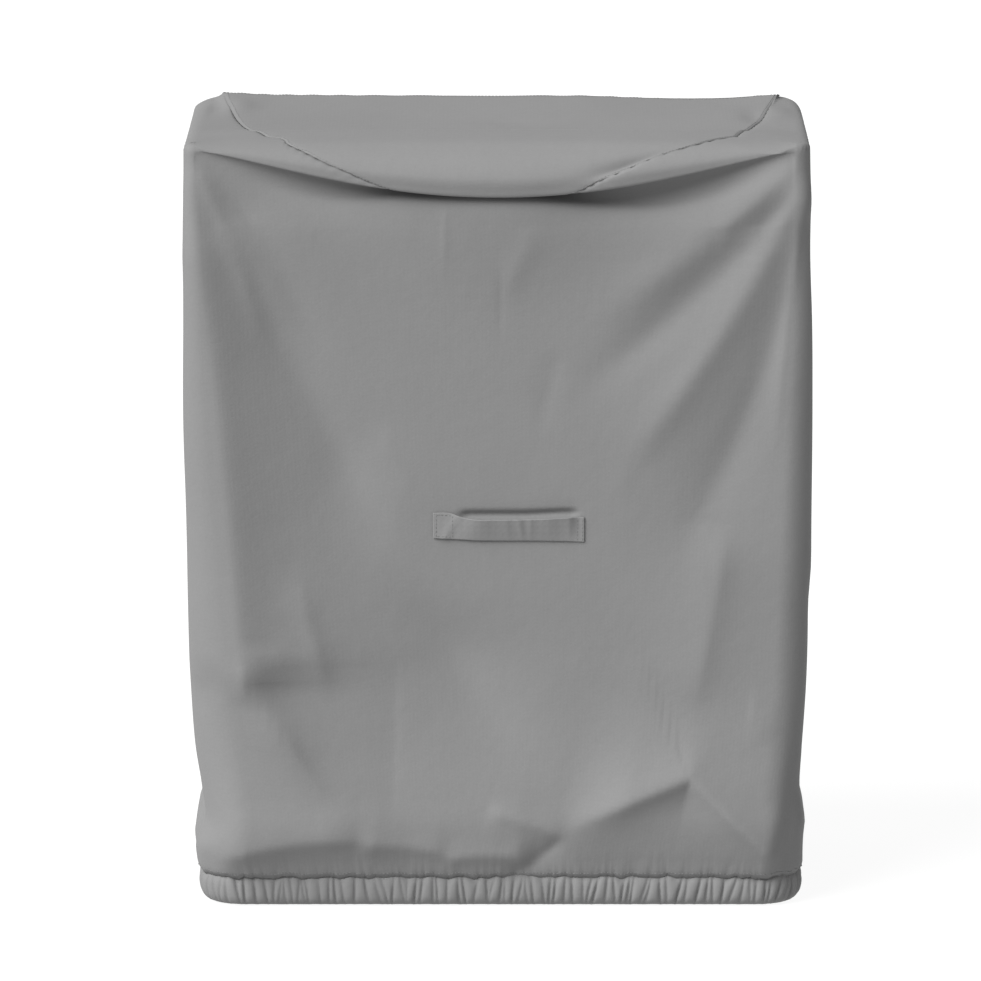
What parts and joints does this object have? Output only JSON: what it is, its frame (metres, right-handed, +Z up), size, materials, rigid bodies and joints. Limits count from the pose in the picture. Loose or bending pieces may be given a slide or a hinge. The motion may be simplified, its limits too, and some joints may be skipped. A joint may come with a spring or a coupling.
{
  "type": "log splitter cover",
  "caption": "Fitted cloth cover for an upright log splitter, with a gathered elastic hem, a slack top that rolls over the front edge and a strap handle on the front.",
  "frame": {"origin": "on the ground under the middle of the cover", "axes": "+X to the right as seen from the front, +Y to the back, so the handle faces -Y, +Z up"},
  "size_m": [0.9454, 0.6054, 1.1558],
  "materials": {
    "cover_cloth": "matt coated polyester, fine plain weave, mid grey",
    "strap_cloth": "matt polyester strap, mid grey"
  },
  "bodies": {
    "root": {"skirt": "cover_cloth", "top_panel": "cover_cloth", "handle": "strap_cloth"}
  },
  "joints": []
}
